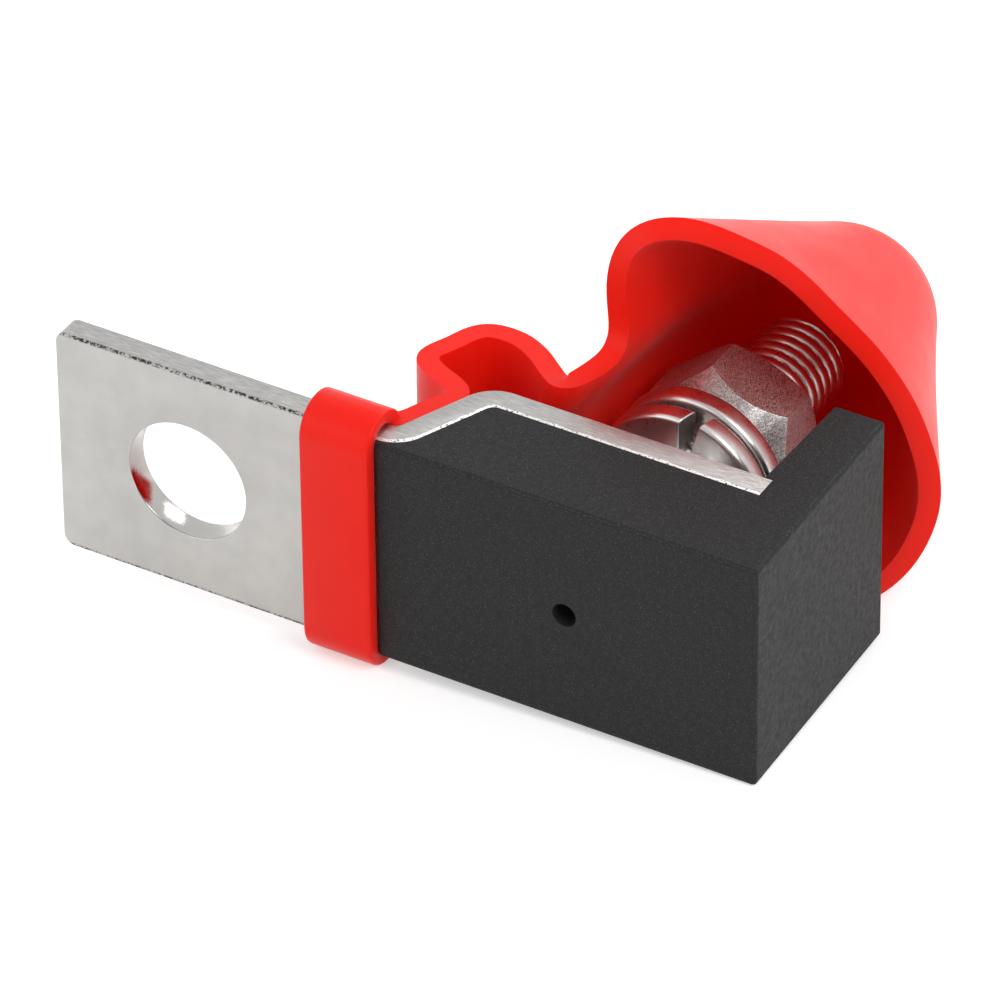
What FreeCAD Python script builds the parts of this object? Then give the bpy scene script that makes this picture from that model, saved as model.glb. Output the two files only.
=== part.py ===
import FreeCAD, Part
import math
import os
import Sketcher
from FreeCAD import Rotation, Vector

# Fuse holder that bolts to a vehicle battery terminal, lying on its long side.
# X runs along the bus from the tab end to the end wall, Y is the way the stud points, Z is up.
# The origin is the axis of the post hole, on the underside of the tab. Sizes are millimetres.

doc = FreeCAD.newDocument("terminal_fuse_holder")
dims = doc.addObject("Spreadsheet::Sheet", "dims")

SIZES = [
    # bus bar: one bent strip, a low tab and a raised seat
    ("bus_width", 21.0, "width of the strip"),
    ("bus_gauge", 2.25, "thickness of the strip"),
    ("tab_reach", 11.9, "post hole axis to the tab's free end"),
    ("tab_corner", 1.0, "plan corner radius of the tab"),
    ("post_bore", 10.8, "post hole diameter"),
    ("bus_rise", 8.25, "height of the seat's underside over the tab's underside"),
    ("ramp_middle", 20.7, "middle of the ramp along the bus"),
    ("ramp_angle", 66.0, "slope of the ramp in degrees"),
    ("bend_radius", 1.0, "inner radius of both bends"),
    # insulator block
    ("block_start", 17.6, "left end of the block"),
    ("block_length", 34.0, "length of the block"),
    ("block_skin", 0.5, "plastic under the tab's underside level"),
    ("wall_height", 11.0, "end wall above the seat"),
    ("wall_foot", 5.3, "end wall thickness at the seat"),
    ("wall_inner_draft", 0.4, "lean of the inner face over the wall's height"),
    ("wall_outer_draft", 0.6, "lean of the outer face over the block's height"),
    ("bus_tuck", 0.7, "how far the bus end sits in the wall"),
    ("block_edge", 0.4, "radius of the block's outer edges"),
    ("gate_bore", 2.1, "small moulding hole in the underside"),
    ("gate_depth", 3.0, "depth of that hole"),
    # stud, with its head moulded into the block
    ("stud_diameter", 7.94, "over the thread"),
    ("stud_length", 28.6, "seat to tip"),
    ("stud_chamfer", 0.7, "at the tip"),
    ("head_diameter", 13.0, "embedded head"),
    ("head_height", 3.2, "embedded head"),
    # spring washers
    ("hardware_clearance", 0.09, "round the stud, each side"),
    ("washer_outer", 14.8, "outside diameter"),
    ("washer_gauge", 1.95, "thickness of the turn"),
    ("washer_rise", 0.45, "how far the ends of the turn stand apart"),
    ("washer_slit", 9.0, "gap between the ends in degrees"),
    ("washer_slit_place", 86.0, "where the lower washer's gap lies, in degrees from +X towards +Z"),
    ("washer_lift", 6.8, "seat to the lower washer as pictured"),
    ("stack_gap", 0.05, "between neighbours in the stack"),
    # nut
    ("nut_flats", 12.7, "across flats"),
    ("nut_height", 7.1, "overall"),
    ("nut_turn", 8.3, "turn of the pictured nut in degrees"),
    ("nut_land", 9.6, "diameter of the flat on the near face"),
    ("nut_near_slope", 50.0, "steep chamfer on the near face in degrees"),
    ("nut_far_land", 12.4, "diameter of the flat on the far face"),
    ("nut_far_slope", 30.0, "chamfer on the far face in degrees"),
    # boot: a band round the tab, a strap and a cap, one soft moulding
    ("boot_wall", 1.8, "wall of the strap and the cap"),
    ("band_start", 11.4, "left edge of the band"),
    ("band_width", 6.0, "band along the bus"),
    ("band_front", 1.6, "wall under the tab"),
    ("band_back", 1.85, "wall over the tab"),
    ("band_side", 1.6, "wall at the tab's long edges"),
    ("band_corner", 2.4, "outer corner radius of the band"),
    ("strap_width", 20.4, "width of the strap"),
    ("strap_seat_gap", 0.05, "between the strap and the ramp"),
    ("hairpin_height", 9.5, "where the strap folds back at the top of the ramp"),
    ("loop_left", 14.7, "left bulge of the loop along X"),
    ("loop_low", 11.9, "lower corner of the loop"),
    ("loop_crest_left", 17.0, "left end of the loop's crest"),
    ("loop_crest_right", 20.8, "right end of the loop's crest"),
    ("loop_high", 18.0, "height of the loop's crest"),
    ("crest_fall", 0.3, "drop of the crest from its left end to its right"),
    ("strap_foot_radius", 1.2, "centreline bend where the strap leaves the band"),
    ("hairpin_radius", 0.95, "centreline bend of the fold"),
    ("bulge_radius", 1.5, "centreline bend at the left bulge"),
    ("crest_radius", 1.4, "centreline bend at the crest's left end"),
    ("run_radius", 2.4, "centreline bend at the crest's right end"),
    ("split_run", 3.75, "from the fold to the parting of the two strap halves"),
    ("strap_split_gap", 0.3, "between the still strap and the swinging strap"),
    # cap: an oval mouth drawn in to a round crown
    ("mouth_offset", 3.9, "middle of the mouth from the stud's axis along the bus"),
    ("mouth_sag", 5.0, "middle of the mouth over the bus's middle across its width"),
    ("mouth_lift", 9.64, "height over the seat at which the mouth's plane crosses the stud's axis"),
    ("mouth_slope_x", 0.476, "climb of the mouth's plane along X"),
    ("mouth_slope_z", 0.15, "climb of the mouth's plane along Z"),
    ("crown_offset", 1.0, "centre of the round crown from the stud's axis along the bus"),
    ("crown_lift", 3.0, "centre of the round crown over the stud's tip"),
    ("crown_sag", 1.5, "centre of the round crown over the bus's middle across its width"),
    ("crown_radius", 8.2, "outside of the crown"),
    ("waist_bulge", 2.1, "fullness of the cap's side beside the nut"),
    ("waist_facing", 215.0, "direction of that fullness round the mouth in degrees"),
]

# Reach of the mouth's outer edge from its middle, in 30 degree steps from +X towards +Z
MOUTH_REACHES = [13.75, 12.2, 12.6, 15.9, 19.5, 12.9, 15.2, 17.2, 18.3, 16.3, 18.6, 16.95]
MOUTH_STEP = 30

for step, reach in enumerate(MOUTH_REACHES):
    SIZES.append(("mouth_reach_%03d" % (step * MOUTH_STEP), reach, "outer edge of the mouth"))

for row, (alias, size, note) in enumerate(SIZES, start=1):
    dims.set("A%d" % row, alias)
    dims.set("B%d" % row, str(size))
    dims.set("C%d" % row, note)
    dims.setAlias("B%d" % row, alias)
doc.recompute()


def value(expression):
    return float(dims.evalExpression(expression))


# Places that several pieces share, as expressions on the sheet
BUS_TOP = "(dims.bus_rise + dims.bus_gauge)"
BUS_MIDDLE = "((dims.bus_rise + dims.bus_gauge) / 2)"
BLOCK_END = "(dims.block_start + dims.block_length)"
WALL_FACE = "(dims.block_start + dims.block_length - dims.wall_foot)"
BUS_END = "(dims.block_start + dims.block_length - dims.wall_foot + dims.bus_tuck)"
WALL_TIP = "(dims.bus_rise + dims.bus_gauge + dims.wall_height)"
STUD_X = "(dims.block_start + dims.block_length / 2)"
STUD_TIP = "(dims.bus_rise + dims.bus_gauge + dims.stud_length)"
WASHER_STACK = "(dims.washer_gauge + dims.washer_rise)"
LOWER_WASHER = "(dims.bus_rise + dims.bus_gauge + dims.washer_lift)"
UPPER_WASHER = "(%s + %s + dims.stack_gap)" % (LOWER_WASHER, WASHER_STACK)
NUT_SEAT = "(%s + %s + dims.stack_gap)" % (UPPER_WASHER, WASHER_STACK)
HARDWARE_BORE = "(dims.stud_diameter + 2 * dims.hardware_clearance)"


def ramp_x(level, side):
    # where a ramp face crosses a level: side +1 is the underside, -1 the top, 0 the middle
    run = "(%s - %s) / tan(dims.ramp_angle)" % (level, BUS_MIDDLE)
    half = "dims.bus_gauge / 2 / sin(dims.ramp_angle)"
    return "dims.ramp_middle + %s + %d * %s" % (run, side, half)


def new_body(label):
    body = doc.addObject("PartDesign::Body", label)
    body.Label = label
    return body


def new_sketch(body, name, role):
    sketch = body.newObject("Sketcher::SketchObject", name)
    plane = [item for item in body.Origin.OriginFeatures if item.Role == role][0]
    sketch.AttachmentSupport = [(plane, "")]
    sketch.MapMode = "FlatFace"
    return sketch


def place_point(sketch, line, along, upward, name):
    # ties the start of a line to its place from the sketch's origin
    for kind, expression, axis, suffix in (
            ("DistanceX", along, -2, "x"), ("DistanceY", upward, -1, "y")):
        if expression == "0":
            sketch.addConstraint(Sketcher.Constraint("PointOnObject", line, 1, axis))
            continue
        index = sketch.addConstraint(
            Sketcher.Constraint(kind, -1, 1, line, 1, value(expression)))
        sketch.renameConstraint(index, "%s_%s" % (name, suffix))
        sketch.setExpression("Constraints.%s_%s" % (name, suffix), expression)


def polygon(body, name, role, corners):
    # corners are (name, x, y) with x and y as expressions on the sheet
    sketch = new_sketch(body, name, role)
    spots = [Vector(value(x), value(y), 0) for _, x, y in corners]
    count = len(corners)
    for index in range(count):
        sketch.addGeometry(Part.LineSegment(spots[index], spots[(index + 1) % count]), False)
    for index in range(count):
        sketch.addConstraint(
            Sketcher.Constraint("Coincident", index, 2, (index + 1) % count, 1))
    for index, (corner, x, y) in enumerate(corners):
        place_point(sketch, index, x, y, corner)
    return sketch


def circle(body, name, role, along, upward, diameter):
    sketch = new_sketch(body, name, role)
    centre = Vector(value(along), value(upward), 0)
    sketch.addGeometry(Part.Circle(centre, Vector(0, 0, 1), value(diameter) / 2), False)
    for kind, expression, axis, suffix in (
            ("DistanceX", along, -2, "x"), ("DistanceY", upward, -1, "y")):
        if expression == "0":
            sketch.addConstraint(Sketcher.Constraint("PointOnObject", 0, 3, axis))
            continue
        index = sketch.addConstraint(
            Sketcher.Constraint(kind, -1, 1, 0, 3, value(expression)))
        sketch.renameConstraint(index, "centre_%s" % suffix)
        sketch.setExpression("Constraints.centre_%s" % suffix, expression)
    index = sketch.addConstraint(Sketcher.Constraint("Diameter", 0, value(diameter)))
    sketch.renameConstraint(index, "bore")
    sketch.setExpression("Constraints.bore", diameter)
    return sketch


def pad_evenly(body, name, sketch, length):
    pad = body.newObject("PartDesign::Pad", name)
    pad.Profile = sketch
    pad.SideType = "Symmetric"
    pad.setExpression("Length", length)
    doc.recompute()
    return pad


def pocket_through(body, name, sketch):
    before = body.Shape.Volume
    pocket = body.newObject("PartDesign::Pocket", name)
    pocket.Profile = sketch
    pocket.SideType = "Symmetric"
    pocket.Type = "ThroughAll"
    doc.recompute()
    if body.Shape.Volume >= before:
        raise RuntimeError("%s cut nothing" % name)
    return pocket


def upright_edges(shape, spots):
    # names of the straight edges along Z that pass through the given (x, y) spots
    names = []
    for number, edge in enumerate(shape.Edges, start=1):
        ends = [vertex.Point for vertex in edge.Vertexes]
        if len(ends) != 2 or abs(ends[0].z - ends[1].z) < 1e-4:
            continue
        for x, y in spots:
            if all(math.hypot(end.x - x, end.y - y) < 1e-4 for end in ends):
                names.append("Edge%d" % number)
    return names


def fillet(body, name, base, edges, radius):
    if not edges:
        raise RuntimeError("%s found no edge" % name)
    feature = body.newObject("PartDesign::Fillet", name)
    feature.Base = (base, edges)
    feature.setExpression("Radius", radius)
    doc.recompute()
    return feature


def revolve(body, name, sketch, role):
    turn = body.newObject("PartDesign::Revolution", name)
    turn.Profile = sketch
    axis = [item for item in body.Origin.OriginFeatures if item.Role == role][0]
    turn.ReferenceAxis = (axis, [""])
    turn.Angle = 360
    doc.recompute()
    return turn


def groove(body, name, sketch, role):
    before = body.Shape.Volume
    cut = body.newObject("PartDesign::Groove", name)
    cut.Profile = sketch
    axis = [item for item in body.Origin.OriginFeatures if item.Role == role][0]
    cut.ReferenceAxis = (axis, [""])
    cut.Angle = 360
    doc.recompute()
    if body.Shape.Volume >= before:
        raise RuntimeError("%s cut nothing" % name)
    return cut


# Bus bar
def make_bus():
    body = new_body("bus_bar")
    corners = [
        ("tab_low", "-dims.tab_reach", "0"),
        ("ramp_low_under", ramp_x("0", 1), "0"),
        ("ramp_high_under", ramp_x("dims.bus_rise", 1), "dims.bus_rise"),
        ("seat_end_under", BUS_END, "dims.bus_rise"),
        ("seat_end_top", BUS_END, BUS_TOP),
        ("ramp_high_top", ramp_x(BUS_TOP, -1), BUS_TOP),
        ("ramp_low_top", ramp_x("dims.bus_gauge", -1), "dims.bus_gauge"),
        ("tab_high", "-dims.tab_reach", "dims.bus_gauge"),
    ]
    spots = {name: (value(x), value(y)) for name, x, y in corners}
    strip = pad_evenly(body, "strip", polygon(body, "strip_profile", "XY_Plane", corners),
                       "dims.bus_width")
    inner = upright_edges(body.Shape, [spots["ramp_low_top"], spots["ramp_high_under"]])
    bent = fillet(body, "inner_bends", strip, inner, "dims.bend_radius")
    outer = upright_edges(body.Shape, [spots["ramp_low_under"], spots["ramp_high_top"]])
    bent = fillet(body, "outer_bends", bent, outer, "dims.bend_radius + dims.bus_gauge")
    tab_end = value("-dims.tab_reach")
    plan = []
    for number, edge in enumerate(body.Shape.Edges, start=1):
        ends = [vertex.Point for vertex in edge.Vertexes]
        if len(ends) == 2 and all(abs(end.x - tab_end) < 1e-4 for end in ends):
            if abs(ends[0].y - ends[1].y) > 1e-4:
                plan.append("Edge%d" % number)
    fillet(body, "tab_corners", bent, plan, "dims.tab_corner")
    pocket_through(body, "post_hole", circle(body, "post_circle", "XZ_Plane", "0", "0",
                                             "dims.post_bore"))
    pocket_through(body, "stud_hole", circle(body, "stud_circle", "XZ_Plane", STUD_X, "0",
                                             "dims.stud_diameter"))
    return body


# Stud, turned, with its head under the bus
def make_stud():
    body = new_body("stud")
    radius = "dims.stud_diameter / 2"
    corners = [
        ("head_axis", "0", "dims.bus_rise - dims.head_height"),
        ("head_rim_low", "dims.head_diameter / 2", "dims.bus_rise - dims.head_height"),
        ("head_rim_high", "dims.head_diameter / 2", "dims.bus_rise"),
        ("shank_foot", radius, "dims.bus_rise"),
        ("shank_shoulder", radius, STUD_TIP + " - dims.stud_chamfer"),
        ("tip_rim", radius + " - dims.stud_chamfer", STUD_TIP),
        ("tip_axis", "0", STUD_TIP),
    ]
    revolve(body, "turned", polygon(body, "turned_profile", "XY_Plane", corners), "Y_Axis")
    body.setExpression("Placement.Base.x", STUD_X)
    return body


# Insulator block, moulded round the bus and the stud's head, with its end wall
def make_block(bus, stud):
    body = new_body("block_moulding")
    seat_middle = "(dims.bus_rise + dims.bus_gauge / 2)"
    tab_middle = "(dims.bus_gauge / 2)"
    corners = [
        ("foot_left", "dims.block_start", "-dims.block_skin"),
        ("foot_right", BLOCK_END, "-dims.block_skin"),
        ("tip_outer", BLOCK_END + " - dims.wall_outer_draft", WALL_TIP),
        ("tip_inner", WALL_FACE + " + dims.wall_inner_draft", WALL_TIP),
        ("wall_foot", WALL_FACE, BUS_TOP),
        ("wall_root", WALL_FACE, seat_middle),
        ("ramp_high", ramp_x(seat_middle, 0), seat_middle),
        ("ramp_low", ramp_x(tab_middle, 0), tab_middle),
        ("nose", "dims.block_start", tab_middle),
    ]
    spots = {name: (value(x), value(y)) for name, x, y in corners}
    raw = pad_evenly(body, "moulding", polygon(body, "side_profile", "XY_Plane", corners),
                     "dims.bus_width")
    outline = [spots[name] for name in ("foot_left", "foot_right", "tip_outer", "tip_inner")]
    rounded = []
    for number, edge in enumerate(body.Shape.Edges, start=1):
        ends = [vertex.Point for vertex in edge.Vertexes]
        on_outline = [any(math.hypot(end.x - x, end.y - y) < 1e-4 for x, y in outline)
                      for end in ends]
        if all(on_outline):
            rounded.append("Edge%d" % number)
    fillet(body, "soft_edges", raw, rounded, "dims.block_edge")
    gate = body.newObject("PartDesign::Pocket", "gate_hole")
    gate.Profile = circle(body, "gate_circle", "XZ_Plane", STUD_X, "0", "dims.gate_bore")
    gate.SideType = "Symmetric"
    gate.setExpression("Length", "2 * (dims.gate_depth + dims.block_skin)")
    doc.recompute()
    metal = doc.addObject("Part::MultiFuse", "moulded_in_metal")
    metal.Shapes = [bus, stud]
    metal.Refine = False
    block = doc.addObject("Part::Cut", "insulator_block")
    block.Base = body
    block.Tool = metal
    block.Label = "insulator_block"
    return block


# Split spring washer: one open turn of square wire
def make_washer(label, height, slit_place):
    body = new_body(label)
    inner = HARDWARE_BORE + " / 2"
    outer = "dims.washer_outer / 2"
    corners = [
        ("inner_low", inner, "0"),
        ("outer_low", outer, "0"),
        ("outer_high", outer, "dims.washer_gauge"),
        ("inner_high", inner, "dims.washer_gauge"),
    ]
    coil = body.newObject("PartDesign::AdditiveHelix", "open_turn")
    coil.Profile = polygon(body, "wire_section", "XY_Plane", corners)
    axis = [item for item in body.Origin.OriginFeatures if item.Role == "Y_Axis"][0]
    coil.ReferenceAxis = (axis, [""])
    coil.Mode = "pitch-turns-angle"
    coil.setExpression("Turns", "1 - dims.washer_slit / 360")
    coil.setExpression("Pitch", "dims.washer_rise / (1 - dims.washer_slit / 360)")
    doc.recompute()
    body.Placement = FreeCAD.Placement(
        Vector(value(STUD_X), value(height), 0),
        Rotation(Vector(0, 1, 0), -value(slit_place)))
    body.setExpression("Placement.Base.x", STUD_X)
    body.setExpression("Placement.Base.y", height)
    return body


# Hexagon nut
def make_nut():
    body = new_body("hex_nut")
    corner = "dims.nut_flats / 2 / cos(30)"
    corners = []
    for side in range(6):
        angle = 60 * side
        corners.append(("corner_%d" % side, "%s * cos(%d)" % (corner, angle),
                        "%s * sin(%d)" % (corner, angle) if side % 3 else "0"))
    pad_evenly(body, "prism", polygon(body, "hexagon", "XZ_Plane", corners), "dims.nut_height")
    pocket_through(body, "bore", circle(body, "bore_circle", "XZ_Plane", "0", "0",
                                        HARDWARE_BORE))
    reach = "dims.nut_flats"
    for name, land, slope, side in (
            ("near_chamfer", "dims.nut_land / 2", "dims.nut_near_slope", "-1"),
            ("far_chamfer", "dims.nut_far_land / 2", "dims.nut_far_slope", "1")):
        face = "%s * dims.nut_height / 2" % side
        drop = "%s * (dims.nut_height / 2 - (%s - %s) * tan(%s))" % (side, reach, land, slope)
        triangle = [
            ("land", land, face),
            ("beyond_face", reach, face),
            ("beyond_drop", reach, drop),
        ]
        groove(body, name, polygon(body, name + "_profile", "XY_Plane", triangle), "Y_Axis")
    body.Placement = FreeCAD.Placement(
        Vector(value(STUD_X), 0, 0), Rotation(Vector(0, 1, 0), -value("dims.nut_turn")))
    body.setExpression("Placement.Base.x", STUD_X)
    body.setExpression("Placement.Base.y", NUT_SEAT + " + dims.nut_height / 2")
    return body


# Boot, part one: the band that grips the tab
def make_band():
    body = new_body("band_ring")
    low = "-dims.band_front"
    high = "dims.bus_gauge + dims.band_back"
    side = "(dims.bus_width / 2 + dims.band_side)"
    outer = [
        ("outer_a", low, "-" + side), ("outer_b", high, "-" + side),
        ("outer_c", high, side), ("outer_d", low, side),
    ]
    inner = [
        ("inner_a", "0", "-dims.bus_width / 2"), ("inner_b", "dims.bus_gauge", "-dims.bus_width / 2"),
        ("inner_c", "dims.bus_gauge", "dims.bus_width / 2"), ("inner_d", "0", "dims.bus_width / 2"),
    ]
    ring = pad_evenly(body, "ring", polygon(body, "ring_profile", "YZ_Plane", outer),
                      "dims.band_width")
    corners = []
    half = value("dims.band_width") / 2
    for number, edge in enumerate(body.Shape.Edges, start=1):
        ends = [vertex.Point for vertex in edge.Vertexes]
        if len(ends) == 2 and abs(ends[0].x + ends[1].x) < 1e-4 and abs(ends[0].x) > half / 2:
            corners.append("Edge%d" % number)
    fillet(body, "ring_corners", ring, corners, "dims.band_corner")
    pocket_through(body, "tab_slot", polygon(body, "slot_profile", "YZ_Plane", inner))
    body.setExpression("Placement.Base.x", "dims.band_start + dims.band_width / 2")
    return body


def rounded_path(points, radii):
    # straight runs joined by tangent arcs, in the XY plane; radii are for the inner points
    edges = []
    start = points[0]
    for index in range(1, len(points) - 1):
        corner = points[index]
        before = (points[index - 1] - corner).normalize()
        after = (points[index + 1] - corner).normalize()
        half_angle = before.getAngle(after) / 2
        setback = radii[index - 1] / math.tan(half_angle)
        bisector = (before + after).normalize()
        centre = corner + bisector * (radii[index - 1] / math.sin(half_angle))
        arc_start = corner + before * setback
        arc_end = corner + after * setback
        arc_middle = centre - bisector * radii[index - 1]
        edges.append(Part.LineSegment(start, arc_start).toShape())
        edges.append(Part.Arc(arc_start, arc_middle, arc_end).toShape())
        start = arc_end
    edges.append(Part.LineSegment(start, points[-1]).toShape())
    return Part.Wire(edges)


def ribbon(path, wall, width):
    # a flat ribbon swept along a path in the XY plane, as wide as width along Z
    first = path.Edges[0]
    start = first.valueAt(first.FirstParameter)
    tangent = first.tangentAt(first.FirstParameter).normalize()
    across = Vector(-tangent.y, tangent.x, 0) * (wall / 2)
    rise = Vector(0, 0, width / 2)
    ring = [start + across + rise, start - across + rise,
            start - across - rise, start + across - rise, start + across + rise]
    return path.makePipeShell([Part.makePolygon(ring)], True, False)


# Boot, part two: the strap, from the band up the ramp, back over itself and across to the cap
def strap_paths():
    wall = value("dims.boot_wall")
    slope = math.radians(value("dims.ramp_angle"))
    stand_off = wall / 2 + value("dims.strap_seat_gap")
    band_level = value("dims.bus_gauge") + value("dims.band_back") / 2

    def on_ramp(level):
        top = value(ramp_x("0", -1)) + level / math.tan(slope)
        return Vector(top - stand_off / math.sin(slope), level, 0)

    band_middle = value("dims.band_start + dims.band_width / 2")
    hairpin = on_ramp(value("dims.hairpin_height"))
    bulge = Vector(value("dims.loop_left"), value("dims.loop_low"), 0)
    crest_left = Vector(value("dims.loop_crest_left"), value("dims.loop_high"), 0)
    crest_right = Vector(value("dims.loop_crest_right"), value("dims.loop_high - dims.crest_fall"), 0)
    mouth_left = mouth_point(210, wall / 2)
    landing = Vector(mouth_left.x, mouth_left.y + wall / 3, 0)

    fold = (bulge - hairpin).normalize()
    split = hairpin + fold * value("dims.split_run")
    half_gap = fold * (value("dims.strap_split_gap") / 2)
    still = rounded_path(
        [Vector(band_middle + wall, band_level, 0), on_ramp(band_level), hairpin,
         split - half_gap],
        [value("dims.strap_foot_radius"), value("dims.hairpin_radius")])
    swinging = rounded_path(
        [split + half_gap, bulge, crest_left, crest_right, landing],
        [value("dims.bulge_radius"), value("dims.crest_radius"), value("dims.run_radius")])
    return still, swinging, split


def mouth_frame():
    # middle of the mouth and the two directions of its plane
    slope_x = value("dims.mouth_slope_x")
    slope_z = value("dims.mouth_slope_z")
    offset = value("dims.mouth_offset")
    sag = value("dims.mouth_sag")
    level = value(BUS_TOP + " + dims.mouth_lift") + slope_x * offset + slope_z * sag
    middle = Vector(value(STUD_X) + offset, level, sag)
    normal = Vector(slope_x, -1, slope_z).normalize()
    along = Vector(1, slope_x, 0).normalize()
    return middle, along, normal.cross(along)


def mouth_point(angle, inset):
    middle, along, upward = mouth_frame()
    reach = value("dims.mouth_reach_%03d" % (angle % 360)) - inset
    turn = math.radians(angle)
    return middle + along * (reach * math.cos(turn)) + upward * (reach * math.sin(turn))


def closed_curve(points):
    curve = Part.BSplineCurve()
    curve.interpolate(points, True)
    return Part.Wire([curve.toShape()])


def cap_body(inset):
    # mouth, sides that swell a little beside the nut, then circles that close over the crown
    middle, along, _ = mouth_frame()
    crown = Vector(value(STUD_X + " + dims.crown_offset"),
                   value(STUD_TIP + " + dims.crown_lift"), value("dims.crown_sag"))
    axis = (crown - middle).normalize()
    along = (along - axis * along.dot(axis)).normalize()
    upward = along.cross(axis)
    radius = value("dims.crown_radius") - inset
    bulge = value("dims.waist_bulge")
    facing = math.radians(value("dims.waist_facing"))
    angles = range(0, 360, MOUTH_STEP)

    def crown_point(angle, latitude):
        turn = math.radians(angle)
        level = math.radians(latitude)
        outward = along * math.cos(turn) + upward * math.sin(turn)
        return crown + outward * (radius * math.cos(level)) + axis * (radius * math.sin(level))

    sections = []
    for share in (0.0, 0.25, 0.5, 0.75, 1.0):
        swell = bulge * math.sin(math.pi * share)
        ring = []
        for angle in angles:
            spot = mouth_point(angle, inset) * (1 - share) + crown_point(angle, 0) * share
            turn = math.radians(angle)
            fullness = swell * max(0.0, math.cos(turn - facing))
            outward = along * math.cos(turn) + upward * math.sin(turn)
            ring.append(spot + outward * fullness)
        sections.append(closed_curve(ring))
    for latitude in (25, 50, 72):
        sections.append(closed_curve([crown_point(angle, latitude) for angle in angles]))
    sections.append(Part.Vertex(crown + axis * radius))
    return Part.makeLoft(sections, True, True)


def add_shape(name, shape):
    feature = doc.addObject("Part::Feature", name)
    feature.Shape = shape
    return feature


def join(label, pieces):
    fused = doc.addObject("Part::MultiFuse", label)
    fused.Shapes = pieces
    fused.Label = label
    fused.Refine = False
    return fused


bus_bar = make_bus()
stud = make_stud()
block = make_block(bus_bar, stud)
lower_washer = make_washer("lower_split_washer", LOWER_WASHER, "dims.washer_slit_place")
upper_washer = make_washer("upper_split_washer", UPPER_WASHER, "dims.washer_slit_place + 140")
nut = make_nut()

wall = value("dims.boot_wall")
strap_width = value("dims.strap_width")
still_path, swinging_path, split = strap_paths()
still_strap = add_shape("still_strap", ribbon(still_path, wall, strap_width))
boot_band = join("boot_band", [make_band(), still_strap])
outer_skin = cap_body(0)
inner_skin = cap_body(wall)
cap_shell = add_shape("cap_shell", outer_skin.cut(inner_skin))
swinging_strap = add_shape(
    "swinging_strap", ribbon(swinging_path, wall, strap_width).cut(inner_skin))
boot_cap = join("boot_cap", [cap_shell, swinging_strap])
doc.recompute()

NODES = [block, bus_bar, stud, lower_washer, upper_washer, nut, boot_band, boot_cap]

for item in doc.Objects:
    if "Invalid" in item.State or "Error" in item.State:
        raise RuntimeError("%s failed to build: %s" % (item.Label, item.State))
for node in NODES:
    if node.Shape.isNull() or not node.Shape.isValid() or not node.Shape.Solids:
        raise RuntimeError("%s has no sound solid" % node.Label)

os.makedirs("parts", exist_ok=True)
for node in NODES:
    node.Shape.exportStep("parts/%s.step" % node.Label)
    box = node.Shape.BoundBox
    print("%-20s %9.1f mm3  %d solid(s)  x %.2f..%.2f  y %.2f..%.2f  z %.2f..%.2f" % (
        node.Label, node.Shape.Volume, len(node.Shape.Solids),
        box.XMin, box.XMax, box.YMin, box.YMax, box.ZMin, box.ZMax))
print("strap splits at x %.2f y %.2f" % (split.x, split.y))
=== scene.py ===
import bpy
import bmesh
import math
from mathutils import Matrix, Vector


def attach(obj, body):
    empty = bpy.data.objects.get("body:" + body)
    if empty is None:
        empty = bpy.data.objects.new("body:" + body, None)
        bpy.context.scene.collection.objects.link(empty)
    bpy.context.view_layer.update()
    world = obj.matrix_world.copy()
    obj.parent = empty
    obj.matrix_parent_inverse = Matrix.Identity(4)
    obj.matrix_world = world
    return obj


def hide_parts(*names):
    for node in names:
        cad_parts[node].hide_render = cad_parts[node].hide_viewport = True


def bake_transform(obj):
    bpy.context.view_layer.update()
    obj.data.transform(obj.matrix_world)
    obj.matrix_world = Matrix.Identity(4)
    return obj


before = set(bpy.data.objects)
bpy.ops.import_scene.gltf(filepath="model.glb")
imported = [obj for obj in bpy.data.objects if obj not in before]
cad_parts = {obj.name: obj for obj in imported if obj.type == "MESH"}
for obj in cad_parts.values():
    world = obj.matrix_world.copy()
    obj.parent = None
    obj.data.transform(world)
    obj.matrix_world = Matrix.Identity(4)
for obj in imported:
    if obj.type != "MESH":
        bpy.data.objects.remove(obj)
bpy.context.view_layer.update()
scene = bpy.context.scene
mm = 0.001  # every size below is in millimetres, turned to metres where a mesh is made

stack = {"axisX": 34.6}  # where the stud's axis stands along the bus


# small helpers for meshes
def smoothShade(mesh, angle):
    # smooth, but sharp at corners over the angle
    mesh.shade_smooth()
    mesh.set_sharp_from_angle(angle=math.radians(angle))


def linkMesh(name, mesh, material, smooth=35):
    obj = bpy.data.objects.new(name, mesh)
    scene.collection.objects.link(obj)
    mesh.materials.clear()
    mesh.materials.append(material)
    smoothShade(mesh, smooth)
    return obj


def bakeModifiers(obj):
    bpy.context.view_layer.update()
    depsgraph = bpy.context.evaluated_depsgraph_get()
    mesh = bpy.data.meshes.new_from_object(obj.evaluated_get(depsgraph))
    obj.modifiers.clear()
    obj.data = mesh
    return obj


def addBevel(obj, width, segments=2, angle=40):
    bevel = obj.modifiers.new("softEdge", "BEVEL")
    bevel.width = width * mm
    bevel.segments = segments
    bevel.limit_method = "ANGLE"
    bevel.angle_limit = math.radians(angle)


def flattenShade(obj):
    # large flat faces keep a flat shade beside their rounded edges
    even = obj.modifiers.new("evenShade", "WEIGHTED_NORMAL")
    even.keep_sharp = True
    return bakeModifiers(obj)


def plainMesh(bm, name):
    mesh = bpy.data.meshes.new(name)
    bm.to_mesh(mesh)
    bm.free()
    return mesh


cadCopy = {"mergeGap": 0.002, "flatAngle": 0.6}  # mm, degrees


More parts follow.
